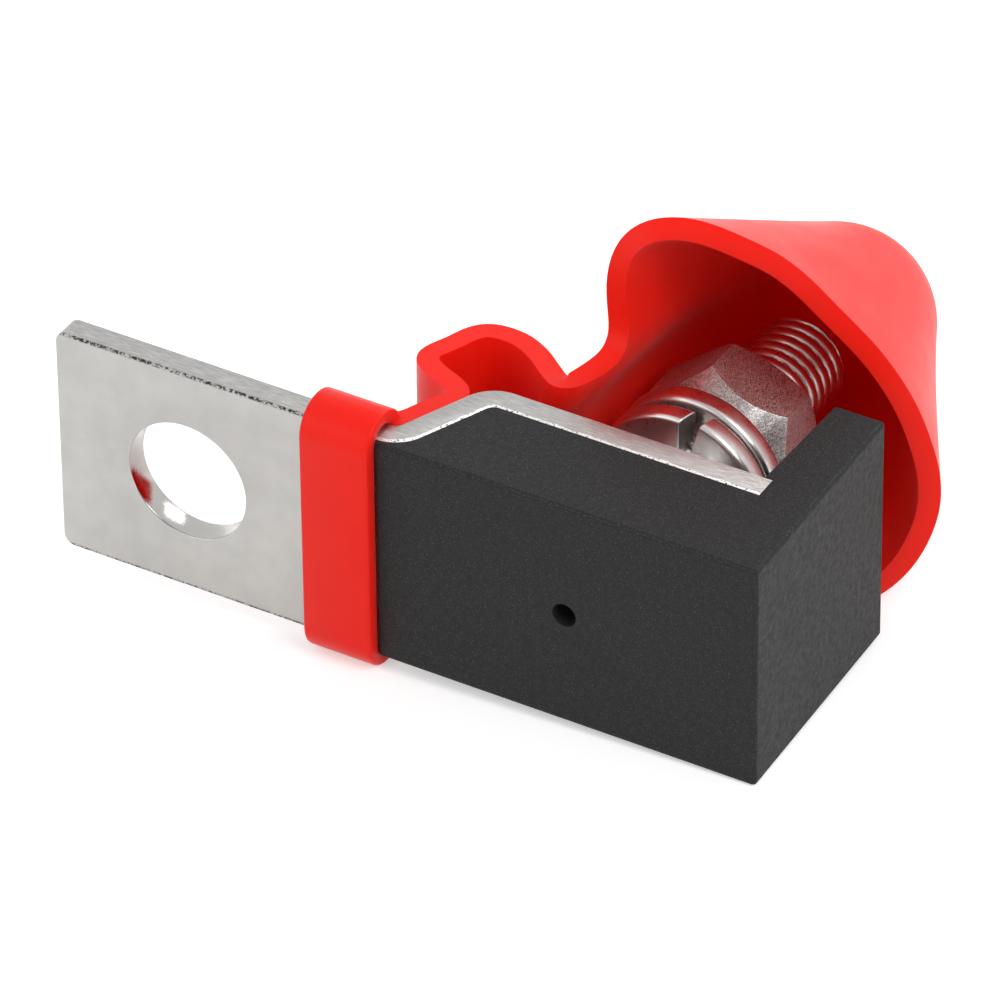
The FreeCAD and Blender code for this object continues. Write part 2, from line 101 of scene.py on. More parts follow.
def copyNode(node, name):
    # a merged copy of a CAD node, so that its edges can be softened
    bm = bmesh.new()
    bm.from_mesh(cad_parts[node].data)
    bmesh.ops.remove_doubles(bm, verts=bm.verts, dist=cadCopy["mergeGap"] * mm)
    bmesh.ops.dissolve_limit(
        bm, angle_limit=math.radians(cadCopy["flatAngle"]), verts=bm.verts, edges=bm.edges,
        delimit={"SHARP"})
    return plainMesh(bm, name)


# small helpers for node trees
def addNode(tree, kind, inputs=None, **settings):
    node = tree.nodes.new(kind)
    for key, setting in settings.items():
        setattr(node, key, setting)
    for key, source in (inputs or {}).items():
        socket = node.inputs[key]
        if isinstance(source, bpy.types.NodeSocket):
            tree.links.new(source, socket)
        else:
            socket.default_value = source
    return node


def mathNode(tree, operation, first, second=0.0, third=0.0):
    node = addNode(tree, "ShaderNodeMath", {0: first, 1: second, 2: third}, operation=operation)
    return node.outputs[0]


def stepNode(tree, amount, low, high, lowOut=0.0, highOut=1.0):
    # a smooth ramp from lowOut to highOut as amount goes from low to high
    node = addNode(tree, "ShaderNodeMapRange",
                   {0: amount, 1: low, 2: high, 3: lowOut, 4: highOut},
                   interpolation_type="SMOOTHSTEP")
    return node.outputs[0]


def mixColour(tree, factor, first, second):
    node = addNode(tree, "ShaderNodeMix", data_type="RGBA")
    for index, source in ((0, factor), (6, first), (7, second)):
        if isinstance(source, bpy.types.NodeSocket):
            tree.links.new(source, node.inputs[index])
        elif index == 0:
            node.inputs[index].default_value = source
        else:
            node.inputs[index].default_value = (*source, 1.0)
    return node.outputs[2]


def startMaterial(name):
    material = bpy.data.materials.new(name)
    material.use_nodes = True
    tree = material.node_tree
    tree.nodes.clear()
    shader = addNode(tree, "ShaderNodeBsdfPrincipled")
    output = addNode(tree, "ShaderNodeOutputMaterial")
    tree.links.new(shader.outputs[0], output.inputs[0])
    place = addNode(tree, "ShaderNodeTexCoord").outputs["Object"]
    return material, tree, shader, place


def mapped(tree, place, location=(0, 0, 0), rotation=(0, 0, 0), scale=(1, 1, 1)):
    turned = tuple(math.radians(angle) for angle in rotation)
    node = addNode(tree, "ShaderNodeMapping",
                   {0: place, 1: location, 2: turned, 3: scale}, vector_type="TEXTURE")
    return node.outputs[0]


def noiseNode(tree, place, size, detail=2.0, roughness=0.5, stretch=(1, 1, 1)):
    # size is the pattern's grain in millimetres; stretch lengthens it along an axis
    vector = mapped(tree, place, scale=tuple(size * mm * part for part in stretch))
    node = addNode(tree, "ShaderNodeTexNoise",
                   {"Vector": vector, "Scale": 1.0, "Detail": detail, "Roughness": roughness})
    return node.outputs[0]


def bumpNode(tree, height, strength, depth, normal=None):
    inputs = {"Strength": strength, "Distance": depth * mm, "Height": height}
    if normal:
        inputs["Normal"] = normal
    return addNode(tree, "ShaderNodeBump", inputs).outputs[0]


# camera
view = {
    "place": (321.64, -501.41, 446.44),  # mm
    "pitch": 37.008, "roll": -0.616, "yaw": -30.298,  # degrees
    "lens": 338.3, "sensor": 36,
    "nearest": 0.05, "farthest": 20,  # m
}


def makeCamera():
    pitch, roll, yaw = (math.radians(view[key]) for key in ("pitch", "roll", "yaw"))
    turned = (Matrix.Rotation(roll, 3, "Y") @ Matrix.Rotation(pitch, 3, "X")
              @ Matrix.Rotation(yaw, 3, "Z"))
    right, forward, up = turned[0], turned[1], turned[2]
    data = bpy.data.cameras.new("photoCamera")
    data.lens = view["lens"]
    data.sensor_width = view["sensor"]
    data.clip_start = view["nearest"]
    data.clip_end = view["farthest"]
    camera = bpy.data.objects.new("photoCamera", data)
    scene.collection.objects.link(camera)
    pose = Matrix((right, up, -forward)).transposed().to_4x4()
    pose.translation = Vector(view["place"]) * mm
    camera.matrix_world = pose
    scene.camera = camera


makeCamera()
print("camera set")


# floor, world and lamps
studio = {
    "floorContacts": ((14.4, 1.2, -12.12), (51.0, 0.0, -10.52), (41.0, 24.0, -11.35)),  # mm
    "floorSize": 3.0,  # m
    "floorColour": (0.80, 0.80, 0.80),
    "floorGlow": 0.42,  # what the camera sees on top of the lit floor
    "worldLight": 0.62,
    # metal mirrors a darker room on the side away from the paper
    "roomSide": (0.30, -0.80, 0.52), "roomShade": 0.45, "roomFade": (0.15, 0.80),
    "lampAim": (20, 10, 0),  # mm
    "keyPower": 5.2, "keySize": 0.55, "keyPlace": (0.75, -0.25, 0.85),
    "fillPower": 2.6, "fillSize": 0.9, "fillPlace": (-0.55, -0.85, 0.55),
    "rimPower": 3.0, "rimSize": 0.5, "rimPlace": (0.15, 0.85, 0.75),
}


def seenByCamera(tree):
    # 1 for rays that show the background itself, 0 for rays that only light the object
    path = addNode(tree, "ShaderNodeLightPath")
    seen = mathNode(tree, "MAXIMUM", path.outputs["Is Camera Ray"], path.outputs["Is Glossy Ray"])
    return mathNode(tree, "MAXIMUM", seen, path.outputs["Is Transmission Ray"])


def makeFloor():
    first, second, third = (Vector(spot) * mm for spot in studio["floorContacts"])
    normal = (second - first).cross(third - first).normalized()
    if normal.z < 0:
        normal.negate()
    half = studio["floorSize"] / 2
    side = Vector((1, 0, 0)) - normal * normal.x
    side.normalize()
    other = normal.cross(side)
    corners = [first + side * (half * a) + other * (half * b)
               for a, b in ((-1, -1), (1, -1), (1, 1), (-1, 1))]
    mesh = bpy.data.meshes.new("floor")
    mesh.from_pydata(corners, [], [(0, 1, 2, 3)])
    material = bpy.data.materials.new("paperFloor")
    material.use_nodes = True
    tree = material.node_tree
    tree.nodes.clear()
    paper = addNode(tree, "ShaderNodeBsdfDiffuse", {"Color": (*studio["floorColour"], 1)})
    strength = mathNode(tree, "MULTIPLY", seenByCamera(tree), studio["floorGlow"])
    glow = addNode(tree, "ShaderNodeEmission", {"Strength": strength})
    both = addNode(tree, "ShaderNodeAddShader", {0: paper.outputs[0], 1: glow.outputs[0]})
    addNode(tree, "ShaderNodeOutputMaterial", {0: both.outputs[0]})
    linkMesh("floor", mesh, material)


def makeWorld():
    world = bpy.data.worlds.new("studioWorld")
    scene.world = world
    world.use_nodes = True
    tree = world.node_tree
    tree.nodes.clear()
    light = studio["worldLight"]
    path = addNode(tree, "ShaderNodeLightPath")
    direction = addNode(tree, "ShaderNodeTexCoord").outputs["Generated"]
    facing = addNode(tree, "ShaderNodeVectorMath",
                     {0: direction, 1: Vector(studio["roomSide"]).normalized()},
                     operation="DOT_PRODUCT").outputs["Value"]
    mirrored = stepNode(tree, facing, *studio["roomFade"], 1 - light, studio["roomShade"] - light)
    seen = mathNode(tree, "MAXIMUM", path.outputs["Is Camera Ray"],
                    path.outputs["Is Transmission Ray"])
    strength = mathNode(tree, "MULTIPLY_ADD", seen, 1 - light, light)
    strength = mathNode(tree, "MULTIPLY_ADD", path.outputs["Is Glossy Ray"], mirrored, strength)
    back = addNode(tree, "ShaderNodeBackground", {"Color": (1, 1, 1, 1), "Strength": strength})
    addNode(tree, "ShaderNodeOutputWorld", {0: back.outputs[0]})


def makeLamp(name):
    data = bpy.data.lights.new(name, "AREA")
    data.energy = studio[name + "Power"]
    data.size = studio[name + "Size"]
    lamp = bpy.data.objects.new(name + "Lamp", data)
    scene.collection.objects.link(lamp)
    place = Vector(studio[name + "Place"])
    aim = Vector(studio["lampAim"]) * mm
    lamp.location = place
    lamp.rotation_euler = (aim - place).to_track_quat("-Z", "Y").to_euler()


makeFloor()
makeWorld()
for lampName in ("key", "fill", "rim"):
    makeLamp(lampName)
scene.view_settings.view_transform = "Standard"
print("floor, world and lamps set")


# materials
plate = {
    "colour": (0.50, 0.488, 0.468), "edgeColour": (0.40, 0.39, 0.38), "roughness": 0.36,
    # the two near-black colours on the next line are painted shade, and the glint is a painted
    # highlight
    "glint": (0.95, 0.94, 0.92), "burrShadeColour": (0.03, 0.03, 0.03), "shadeDashColour": (0.05, 0.05, 0.05),
    "halfWidth": 10.5, "tabEnd": -11.9, "boreRadius": 5.4, "gauge": 2.25,
    "rise": 8.25, "rampFoot": 19.594, "rampAngle": 66.0, "lowBend": 3.1, "highBend": 0.97,
    # each pair is how far from its edge a line starts and is full
    "cutBand": (0.09, 0.03), "burrShadeBand": (0.34, 0.12), "burrShadeReach": (0.30, 0.06),
    "glintBand": (0.10, 0.02), "topHighlightBand": (0.16, 0.06), "wallBand": (0.12, 0.04),
    "blockStart": (17.0, 17.4),  # where the block begins along the bus
    "burrShadeGrain": 0.32, "glintGrain": 0.30, "waverGrain": 1.1, "waver": -0.45,
    "punchedSmoothing": -0.26,
}


def edgeStep(tree, amount, edge, band):
    # 0 to 1 from the band's first distance inside the edge to its second
    return stepNode(tree, amount, (edge - band[0]) * mm, (edge - band[1]) * mm)


def addBurrShade(tree, place, colour, across, height):
    # the sheared corner between the plain face and the cut edge gets a broken, dark line of painted
    # shade
    nearEdge = edgeStep(tree, across, plate["halfWidth"], plate["burrShadeBand"])
    grain = noiseNode(tree, place, plate["burrShadeGrain"], 3.0, 0.75)
    broken = stepNode(tree, grain, 0.42, 0.56)
    reach = plate["burrShadeReach"]
    onLow = stepNode(tree, mathNode(tree, "ABSOLUTE", height), reach[0] * mm, reach[1] * mm)
    burrShade = mathNode(tree, "MULTIPLY", mathNode(tree, "MULTIPLY", nearEdge, broken), onLow)
    return mixColour(tree, burrShade, colour, plate["burrShadeColour"])


def addStripLines(tree, place, colour, along, height, sheared):
    # on the long edges: how far a spot is from the strip's underside, round both bends
    slope = math.radians(plate["rampAngle"])
    alongRamp = mathNode(tree, "SUBTRACT", along, plate["rampFoot"] * mm)
    fromRamp = mathNode(tree, "SUBTRACT", mathNode(tree, "MULTIPLY", height, math.cos(slope)),
                        mathNode(tree, "MULTIPLY", alongRamp, math.sin(slope)))
    fromLow = mathNode(tree, "SMOOTH_MIN", height, fromRamp, plate["lowBend"] * mm)
    fromSeat = mathNode(tree, "SUBTRACT", height, plate["rise"] * mm)
    inward = mathNode(tree, "SMOOTH_MAX", fromLow, fromSeat, plate["highBend"] * mm)
    # painted highlights as bright flecks and painted shade as dark dashes, where the edge meets the
    # block
    waver = noiseNode(tree, place, plate["waverGrain"], 3.0, 0.6)
    wavy = mathNode(tree, "MULTIPLY_ADD", waver, plate["waver"] * mm, inward)
    blockStart = plate["blockStart"]
    overBlock = stepNode(tree, along, blockStart[0] * mm, blockStart[1] * mm)
    onEdge = mathNode(tree, "MULTIPLY", sheared, overBlock)
    band = plate["glintBand"]
    nearBlock = stepNode(tree, wavy, band[0] * mm, band[1] * mm)
    glintLine = mathNode(tree, "MULTIPLY", nearBlock, onEdge)
    grain = noiseNode(tree, place, plate["glintGrain"], 3.0, 0.75)
    glinting = stepNode(tree, grain, 0.36, 0.50)
    colour = mixColour(tree, mathNode(tree, "MULTIPLY", glintLine, glinting), colour, plate["glint"])
    shadeDash = mathNode(tree, "MULTIPLY", glintLine, stepNode(tree, glinting, 0.25, 0.05))
    colour = mixColour(tree, shadeDash, colour, plate["shadeDashColour"])
    # a thin painted highlight along the top
    topHighlight = edgeStep(tree, inward, plate["gauge"], plate["topHighlightBand"])
    return mixColour(tree, mathNode(tree, "MULTIPLY", topHighlight, onEdge), colour,
                     tuple(part * 1.5 for part in plate["colour"]))


def makePlate():
    material, tree, shader, place = startMaterial("platedCopper")
    split = addNode(tree, "ShaderNodeSeparateXYZ", {0: place})
    along, height, side = split.outputs
    across = mathNode(tree, "ABSOLUTE", side)
    sheared = edgeStep(tree, across, plate["halfWidth"], plate["cutBand"])
    band = plate["cutBand"]
    tabEnd = stepNode(tree, along, (plate["tabEnd"] + band[0]) * mm, (plate["tabEnd"] + band[1]) * mm)
    cut = mathNode(tree, "MAXIMUM", sheared, tabEnd)
    cloud = noiseNode(tree, place, 3.0, 4.0, 0.6)
    grain = noiseNode(tree, place, 0.16, 3.0, 0.6)
    drawn = noiseNode(tree, place, 0.10, 2.0, 0.6, (14, 1, 1))
    shade = mixColour(tree, stepNode(tree, cloud, 0.3, 0.7), plate["colour"],
                      tuple(part * 0.93 for part in plate["colour"]))
    fleck = stepNode(tree, drawn, 0.35, 0.7)
    edgeShade = mixColour(tree, fleck, plate["edgeColour"],
                          tuple(part * 1.45 for part in plate["edgeColour"]))
    colour = mixColour(tree, cut, shade, edgeShade)
    colour = addBurrShade(tree, place, colour, across, height)
    colour = addStripLines(tree, place, colour, along, height, sheared)
    tree.links.new(colour, shader.inputs["Base Color"])
    shader.inputs["Metallic"].default_value = 1.0
    # inside the post hole the punch has left a smoother wall
    flat = addNode(tree, "ShaderNodeCombineXYZ", {0: along, 1: side})
    fromAxis = addNode(tree, "ShaderNodeVectorMath", {0: flat.outputs[0]}, operation="LENGTH")
    band = plate["wallBand"]
    wall = stepNode(tree, fromAxis.outputs["Value"], (plate["boreRadius"] + band[0]) * mm,
                    (plate["boreRadius"] + band[1]) * mm)
    uneven = stepNode(tree, cloud, 0.2, 0.8, plate["roughness"] - 0.04, plate["roughness"] + 0.06)
    rough = mathNode(tree, "MULTIPLY_ADD", wall, plate["punchedSmoothing"], uneven)
    tree.links.new(rough, shader.inputs["Roughness"])
    fine = bumpNode(tree, grain, 0.35, 0.03)
    lines = bumpNode(tree, mathNode(tree, "MULTIPLY", drawn, cut), 0.6, 0.10, fine)
    tree.links.new(lines, shader.inputs["Normal"])
    return material


moulding = {
    "colour": (0.0165, 0.0168, 0.0172), "fleckColour": (0.060, 0.060, 0.062), "roughness": 0.55,
    "shine": 0.20,
    "front": -0.5, "top": 10.5,
    # the paler edge colour on the next line is a painted highlight
    "edgeHighlightBand": (0.17, 0.07), "edgeHighlightColour": (0.12, 0.12, 0.125), "edgeHighlight": 0.8,
}


def makeMoulding():
    material, tree, shader, place = startMaterial("blackMoulding")
    split = addNode(tree, "ShaderNodeSeparateXYZ", {0: place})
    grain = noiseNode(tree, place, 0.20, 3.0, 0.65)
    pits = noiseNode(tree, place, 0.55, 2.0, 0.5)
    fibre = noiseNode(tree, place, 0.13, 1.0, 0.5)
    bright = stepNode(tree, fibre, 0.60, 0.74)
    colour = mixColour(tree, bright, moulding["colour"], moulding["fleckColour"])
    # a painted highlight: a paler, broken line along the corner between the underside and the long
    # side
    band = moulding["edgeHighlightBand"]
    nearFront = stepNode(tree, split.outputs[1], (moulding["front"] + band[0]) * mm,
                         (moulding["front"] + band[1]) * mm)
    nearTop = edgeStep(tree, mathNode(tree, "ABSOLUTE", split.outputs[2]), moulding["top"], band)
    broken = stepNode(tree, noiseNode(tree, place, 0.18, 4.0, 0.8), 0.42, 0.60)
    edgeHighlightSpot = mathNode(tree, "MULTIPLY", mathNode(tree, "MULTIPLY", nearFront, nearTop), broken)
    edgeHighlight = mathNode(tree, "MULTIPLY", edgeHighlightSpot, moulding["edgeHighlight"])
    colour = mixColour(tree, edgeHighlight, colour, moulding["edgeHighlightColour"])
    tree.links.new(colour, shader.inputs["Base Color"])
    rough = stepNode(tree, pits, 0.25, 0.75, moulding["roughness"] - 0.07,
                     moulding["roughness"] + 0.08)
    tree.links.new(rough, shader.inputs["Roughness"])
    shader.inputs["IOR"].default_value = 1.5
    shader.inputs["Specular IOR Level"].default_value = moulding["shine"]
    small = bumpNode(tree, grain, 0.55, 0.05)
    tree.links.new(bumpNode(tree, pits, 0.25, 0.08, small), shader.inputs["Normal"])
    return material


steel = {
    "colour": (0.80, 0.785, 0.765), "scratched": (0.42, 0.405, 0.395),
    "roughness": 0.30, "tumbledRoughness": 0.30,
    "scratchAngles": (18, 63, 118, 152), "scratchWidth": 0.085, "scratchStretch": (1, 8, 1),
}


def makeSteel(name, pattern):
    # pattern is "turned" for marks round the stud's axis, or "tumbled" for crossed scratches
    material, tree, shader, place = startMaterial(name)
    centred = mapped(tree, place, location=(stack["axisX"] * mm, 0, 0))
    split = addNode(tree, "ShaderNodeSeparateXYZ", {0: centred})
    flat = addNode(tree, "ShaderNodeCombineXYZ", {0: split.outputs[0], 1: split.outputs[2]})
    radius = addNode(tree, "ShaderNodeVectorMath", {0: flat.outputs[0]}, operation="LENGTH")
    rings = addNode(tree, "ShaderNodeCombineXYZ",
                    {0: radius.outputs["Value"], 1: split.outputs[1]})
    ringMarks = noiseNode(tree, rings.outputs[0], 0.07, 3.0, 0.6)
    cloud = noiseNode(tree, place, 1.2, 3.0, 0.6)
    colour = mixColour(tree, stepNode(tree, cloud, 0.3, 0.75), steel["colour"],
                       tuple(part * 0.86 for part in steel["colour"]))
    shader.inputs["Metallic"].default_value = 1.0
    if pattern == "turned":
        rough = stepNode(tree, cloud, 0.25, 0.75, steel["roughness"] - 0.04,
                         steel["roughness"] + 0.07)
        normal = bumpNode(tree, ringMarks, 0.35, 0.02)
    else:
        height = None
        for angle in steel["scratchAngles"]:
            slanted = mapped(tree, place, rotation=(angle, angle * 0.7, 0))
            scratch = noiseNode(tree, slanted, steel["scratchWidth"], 1.0, 0.5,
                                steel["scratchStretch"])
            line = stepNode(tree, scratch, 0.56, 0.64)
            height = mathNode(tree, "MAXIMUM", height, line) if height else line
        rough = mathNode(tree, "MULTIPLY_ADD", height, 0.16, steel["tumbledRoughness"])
        normal = bumpNode(tree, height, 0.9, 0.03)
        colour = mixColour(tree, height, steel["scratched"], colour)
    tree.links.new(colour, shader.inputs["Base Color"])
    tree.links.new(rough, shader.inputs["Roughness"])
    tree.links.new(normal, shader.inputs["Normal"])
    return material


vinyl = {
    "colour": (0.90, 0.012, 0.004), "roughness": 0.38, "shine": 0.18,
    "glowShare": 0.5, "glowDepth": 2.5, "glowColours": (1.0, 0.12, 0.05),  # light inside the skin
    "sheen": 0.05, "sheenRoughness": 0.45,
}


def makeVinyl():
    material, tree, shader, place = startMaterial("redVinyl")
    cloud = noiseNode(tree, place, 6.0, 3.0, 0.5)
    skin = noiseNode(tree, place, 0.30, 2.0, 0.55)
    colour = mixColour(tree, stepNode(tree, cloud, 0.3, 0.7), vinyl["colour"],
                       tuple(part * 0.96 for part in vinyl["colour"]))
    tree.links.new(colour, shader.inputs["Base Color"])
    rough = stepNode(tree, cloud, 0.2, 0.8, vinyl["roughness"] - 0.05, vinyl["roughness"] + 0.07)
    tree.links.new(rough, shader.inputs["Roughness"])
    shader.inputs["Subsurface Weight"].default_value = vinyl["glowShare"]
    shader.inputs["Subsurface Radius"].default_value = vinyl["glowColours"]
    shader.inputs["Subsurface Scale"].default_value = vinyl["glowDepth"] * mm
    shader.inputs["Sheen Weight"].default_value = vinyl["sheen"]
    shader.inputs["Sheen Roughness"].default_value = vinyl["sheenRoughness"]
    shader.inputs["IOR"].default_value = 1.5
    shader.inputs["Specular IOR Level"].default_value = vinyl["shine"]
    tree.links.new(bumpNode(tree, skin, 0.12, 0.03), shader.inputs["Normal"])
    return material


plateMaterial = makePlate()
mouldingMaterial = makeMoulding()
turnedSteel = makeSteel("turnedSteel", "turned")
tumbledSteel = makeSteel("tumbledSteel", "tumbled")
vinylMaterial = makeVinyl()
print("materials made")


# geometry node helpers
def startTree(name, sizes):
    tree = bpy.data.node_groups.new(name, "GeometryNodeTree")
    for label, size in sizes.items():
        kind = "NodeSocketInt" if isinstance(size, int) else "NodeSocketFloat"
        socket = tree.interface.new_socket(label, in_out="INPUT", socket_type=kind)
        socket.default_value = size
    tree.interface.new_socket("Geometry", in_out="OUTPUT", socket_type="NodeSocketGeometry")
    return tree, addNode(tree, "NodeGroupInput")


def endTree(tree, geometry, material):
    real = addNode(tree, "GeometryNodeRealizeInstances", {0: geometry})
    painted = addNode(tree, "GeometryNodeSetMaterial", {0: real.outputs[0]})
    painted.inputs["Material"].default_value = material
    output = addNode(tree, "NodeGroupOutput")
    tree.links.new(painted.outputs[0], output.inputs[0])


def growMesh(name, tree, sizes):
    # runs a tree on an empty mesh with the given sizes and returns the plain result
    carrier = bpy.data.objects.new(name, bpy.data.meshes.new(name))
    scene.collection.objects.link(carrier)
    modifier = carrier.modifiers.new("grow", "NODES")
    modifier.node_group = tree
    for item in tree.interface.items_tree:
        if item.in_out == "INPUT":
            modifier[item.identifier] = sizes[item.name]
    bakeModifiers(carrier)
    mesh = carrier.data
    bpy.data.objects.remove(carrier)
    return mesh


def weldMesh(mesh, gap):
    bm = bmesh.new()
    bm.from_mesh(mesh)
    bmesh.ops.remove_doubles(bm, verts=bm.verts, dist=gap * mm)
    bmesh.ops.recalc_face_normals(bm, faces=bm.faces)
    bm.to_mesh(mesh)
    bm.free()
    return mesh


# bus bar
busEdge = {"soften": 0.10, "sharpOver": 50}  # mm, degrees


def makeBus():
    mesh = copyNode("bus_bar", "busBar")
    bus = linkMesh("busBar", mesh, plateMaterial)
    addBevel(bus, busEdge["soften"], 2, busEdge["sharpOver"])
    bakeModifiers(bus)
    smoothShade(bus.data, busEdge["sharpOver"])
    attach(bus, "root")
    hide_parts("bus_bar")


makeBus()
print("bus bar made")


# insulator block
def makeBlock():
    mesh = copyNode("insulator_block", "insulatorBlock")
    block = flattenShade(linkMesh("insulatorBlock", mesh, mouldingMaterial, 40))
    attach(block, "root")
    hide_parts("insulator_block")


makeBlock()
print("block made")


# stud with its rolled thread
thread = {
    "crestRadius": 3.97, "rootRadius": 3.52, "pitch": 1.0583,
    "start": 12.6, "tip": 39.1, "tipCone": 1.0, "shankRadius": 3.97,
    "headRadius": 6.5, "headLow": 5.05, "headEdge": 0.3, "seatLow": 8.25, "seatGap": 0.01,
    "runOut": 1.6, "dishShares": (0.86, 0.5), "dishDepth": 0.03, "weld": 0.006,
    "around": 96, "alongPerTurn": 18,
}


def threadTree():
    # a tube whose radius follows a helix: crests and roots from the height and the angle
    tree, sizes = startTree("rolledThread", {
        "crestRadius": 1.0, "rootRadius": 1.0, "pitch": 1.0, "length": 1.0,
        "runOut": 1.0, "tipCone": 1.0, "around": 8, "along": 8})
    grid = addNode(tree, "GeometryNodeMeshGrid", {
        "Size X": 1.0, "Size Y": 1.0,
        "Vertices X": sizes.outputs["around"], "Vertices Y": sizes.outputs["along"]})
    position = addNode(tree, "GeometryNodeInputPosition")
    split = addNode(tree, "ShaderNodeSeparateXYZ", {0: position.outputs[0]})
    turn = mathNode(tree, "ADD", split.outputs[0], 0.5)
    share = mathNode(tree, "ADD", split.outputs[1], 0.5)
    height = mathNode(tree, "MULTIPLY", share, sizes.outputs["length"])
    phase = mathNode(tree, "SUBTRACT",
                     mathNode(tree, "DIVIDE", height, sizes.outputs["pitch"]), turn)
    inTurn = mathNode(tree, "FRACT", phase)
    fromCrest = mathNode(tree, "ABSOLUTE", mathNode(tree, "SUBTRACT", inTurn, 0.5))
    fromCrest = mathNode(tree, "MULTIPLY", fromCrest, 2.0)
    fall = mathNode(tree, "SUBTRACT", 1.0, mathNode(tree, "MULTIPLY", fromCrest, fromCrest))
    crest = mathNode(tree, "SQRT", fall)
    depth = mathNode(tree, "SUBTRACT", sizes.outputs["crestRadius"], sizes.outputs["rootRadius"])
    fadeIn = stepNode(tree, height, 0.0, sizes.outputs["runOut"], 0.0, 1.0)
    cut = mathNode(tree, "MULTIPLY", mathNode(tree, "SUBTRACT", 1.0, crest), fadeIn)
    radius = mathNode(tree, "SUBTRACT", sizes.outputs["crestRadius"],
                      mathNode(tree, "MULTIPLY", depth, cut))
    left = mathNode(tree, "SUBTRACT", sizes.outputs["length"], height)
    cone = mathNode(tree, "SUBTRACT", sizes.outputs["tipCone"], left)
    capped = mathNode(tree, "SUBTRACT", sizes.outputs["crestRadius"],
                      mathNode(tree, "MAXIMUM", cone, 0.0))
    radius = mathNode(tree, "MINIMUM", radius, capped)
    angle = mathNode(tree, "MULTIPLY", turn, math.tau)
    x = mathNode(tree, "MULTIPLY", mathNode(tree, "COSINE", angle), radius)
    y = mathNode(tree, "MULTIPLY", mathNode(tree, "SINE", angle), radius)
    wrapped = addNode(tree, "ShaderNodeCombineXYZ", {0: x, 1: y, 2: height})
    moved = addNode(tree, "GeometryNodeSetPosition",
                    {"Geometry": grid.outputs["Mesh"], "Position": wrapped.outputs[0]})
    endTree(tree, moved.outputs[0], turnedSteel)
    return tree


def turnedRings(bm, profile, around):
    # rings of a turned shape from (radius, height) pairs about +Z, each in mm
    rings = []
    for radius, height in profile:
        ring = []
        for step in range(around):
            angle = math.tau * step / around
            ring.append(bm.verts.new((radius * math.cos(angle) * mm,
                                      radius * math.sin(angle) * mm, height * mm)))
        rings.append(ring)
    for lower, upper in zip(rings, rings[1:]):
        for step in range(around):
            after = (step + 1) % around
            bm.faces.new((lower[step], lower[after], upper[after], upper[step]))
    return rings


def uprightToStud(mesh, height=0.0, turn=0.0):
    # a shape built about +Z is laid along +Y on the stud's axis; +Z angles keep their sense
    lay = Matrix(((0, 1, 0, 0), (0, 0, 1, 0), (1, 0, 0, 0), (0, 0, 0, 1)))
    mesh.transform(Matrix.Translation((stack["axisX"] * mm, height * mm, 0))
                   @ Matrix.Rotation(turn, 4, "Y") @ lay)
    return mesh


def makeStud():
    length = thread["tip"] - thread["start"]
    turns = length / thread["pitch"]
    mesh = growMesh("studThread", threadTree(), {
        "crestRadius": thread["crestRadius"] * mm, "rootRadius": thread["rootRadius"] * mm,
        "pitch": thread["pitch"] * mm, "length": length * mm, "runOut": thread["runOut"] * mm,
        "tipCone": thread["tipCone"] * mm, "around": thread["around"] + 1,
        "along": int(turns * thread["alongPerTurn"])})
    bm = bmesh.new()
    bm.from_mesh(mesh)
    bmesh.ops.translate(bm, verts=bm.verts, vec=(0, 0, thread["start"] * mm))
    around = thread["around"]
    headTop = thread["seatLow"] - thread["seatGap"]
    shank = [(thread["headRadius"] - thread["headEdge"], thread["headLow"]),
             (thread["headRadius"], thread["headLow"] + thread["headEdge"]),
             (thread["headRadius"], headTop),
             (thread["shankRadius"], headTop),
             (thread["shankRadius"], thread["start"])]
    rings = turnedRings(bm, shank, around)
    bm.faces.new(list(reversed(rings[0])))
    tipRadius = thread["crestRadius"] - thread["tipCone"]
    rimShare, floorShare = thread["dishShares"]
    dish = [(tipRadius, thread["tip"]), (tipRadius * rimShare, thread["tip"]),
            (tipRadius * floorShare, thread["tip"] - thread["dishDepth"])]
    rings = turnedRings(bm, dish, around)
    bm.faces.new(rings[-1])
    bmesh.ops.remove_doubles(bm, verts=bm.verts, dist=thread["weld"] * mm)
    bmesh.ops.recalc_face_normals(bm, faces=bm.faces)
    bm.to_mesh(mesh)
    bm.free()
    stud = linkMesh("fuseStud", uprightToStud(mesh), turnedSteel, 50)
    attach(stud, "root")
    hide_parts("stud")


makeStud()
print("stud made")


# split spring washers
washer = {
    "inner": 4.06, "outer": 7.4, "gauge": 1.95, "rise": 0.45, "corner": 0.46,
    "slit": 10.5, "lowerPlace": 85.3, "upperPlace": 225.3,  # degrees
    "slant": 0.03,  # radians per mm of gauge
    "lowerHeight": 17.3, "upperHeight": 19.75, "steps": 132, "cornerSteps": 4,
    "weld": 0.004, "endEdge": 0.09, "endAngle": 60,
}


